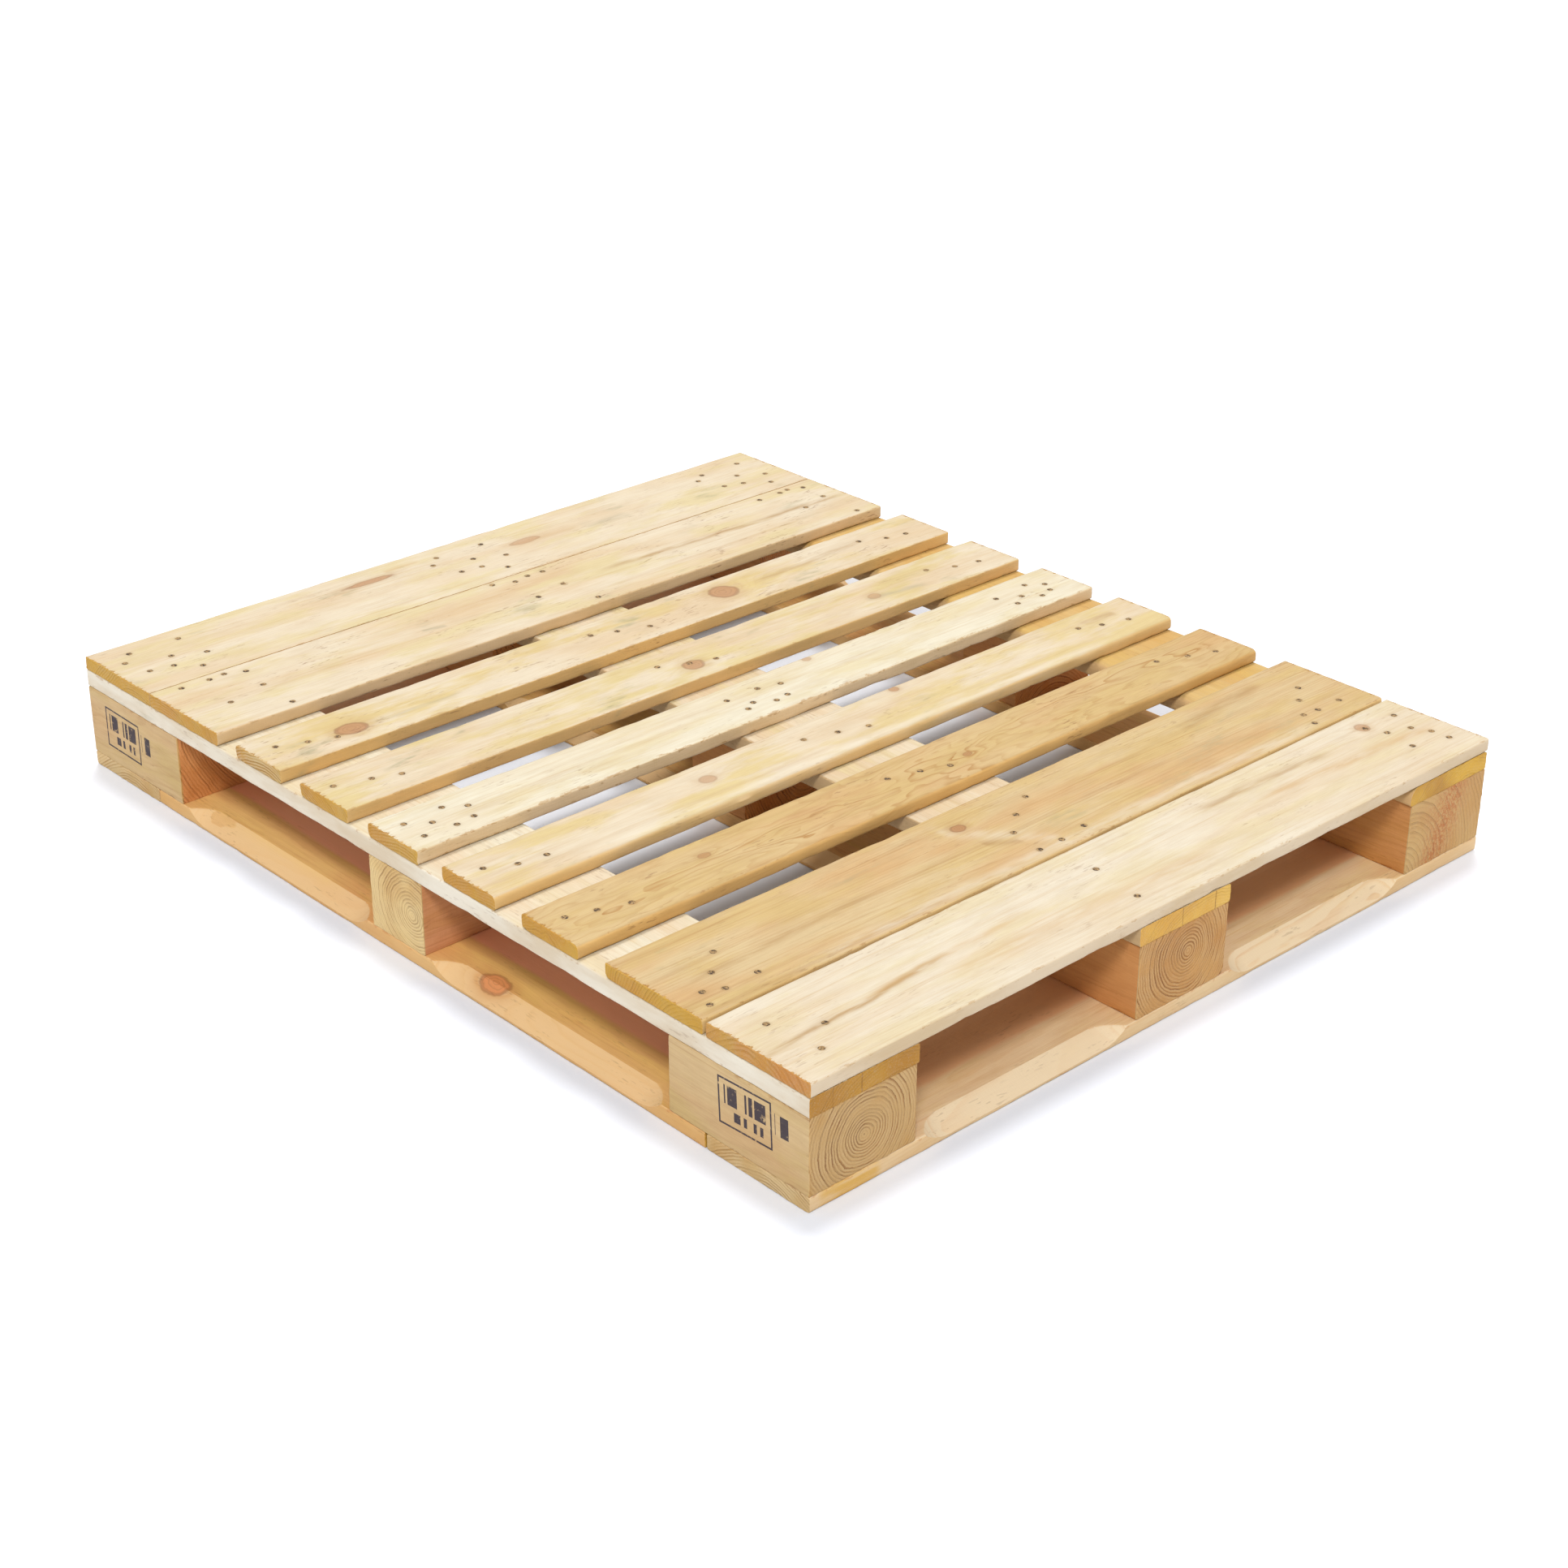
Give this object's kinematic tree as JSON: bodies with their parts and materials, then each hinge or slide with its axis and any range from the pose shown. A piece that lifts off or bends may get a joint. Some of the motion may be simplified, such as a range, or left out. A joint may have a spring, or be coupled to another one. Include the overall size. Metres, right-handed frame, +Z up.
{
  "type": "wooden pallet",
  "caption": "Four-way entry softwood block pallet with nailed deck boards, stringer boards, blocks and a chamfered perimeter base.",
  "frame": {"origin": "centre of the footprint, on the floor that the pallet stands on", "axes": "+X along the 1219 mm side, +Y along the 1016 mm side that the deck boards follow, +Z up"},
  "size_m": [1.219, 1.016, 0.137],
  "materials": {
    "deck_board": "sawn softwood, pale cream to honey, dry",
    "stringer": "sawn softwood, pale grey-cream, dry",
    "block": "sawn softwood with rough end grain, light tan",
    "bottom_board": "sawn softwood, warm tan, with planed chamfers",
    "nail": "dull bare steel, slightly oxidised"
  },
  "bodies": {
    "root": {"deck_board_1": "deck_board", "deck_board_2": "deck_board", "deck_board_3": "deck_board", "deck_board_4": "deck_board", "deck_board_5": "deck_board", "deck_board_6": "deck_board", "deck_board_7": "deck_board", "deck_board_8": "deck_board", "deck_board_9": "deck_board", "stringer_left": "stringer", "stringer_middle": "stringer", "stringer_right": "stringer", "block_rear_left": "block", "block_rear_middle": "block", "block_rear_right": "block", "block_middle_left": "block", "block_middle_middle": "block", "block_middle_right": "block", "block_front_left": "block", "block_front_middle": "block", "block_front_right": "block", "lead_board_rear": "bottom_board", "lead_board_front": "bottom_board", "runner_left": "bottom_board", "runner_middle": "bottom_board", "runner_right": "bottom_board", "deck_nails_left": "nail", "deck_nails_middle": "nail", "deck_nails_right": "nail", "short_nails_left": "nail", "short_nails_middle": "nail", "short_nails_right": "nail", "bottom_nails_left": "nail", "bottom_nails_middle": "nail", "bottom_nails_right": "nail"}
  },
  "joints": []
}
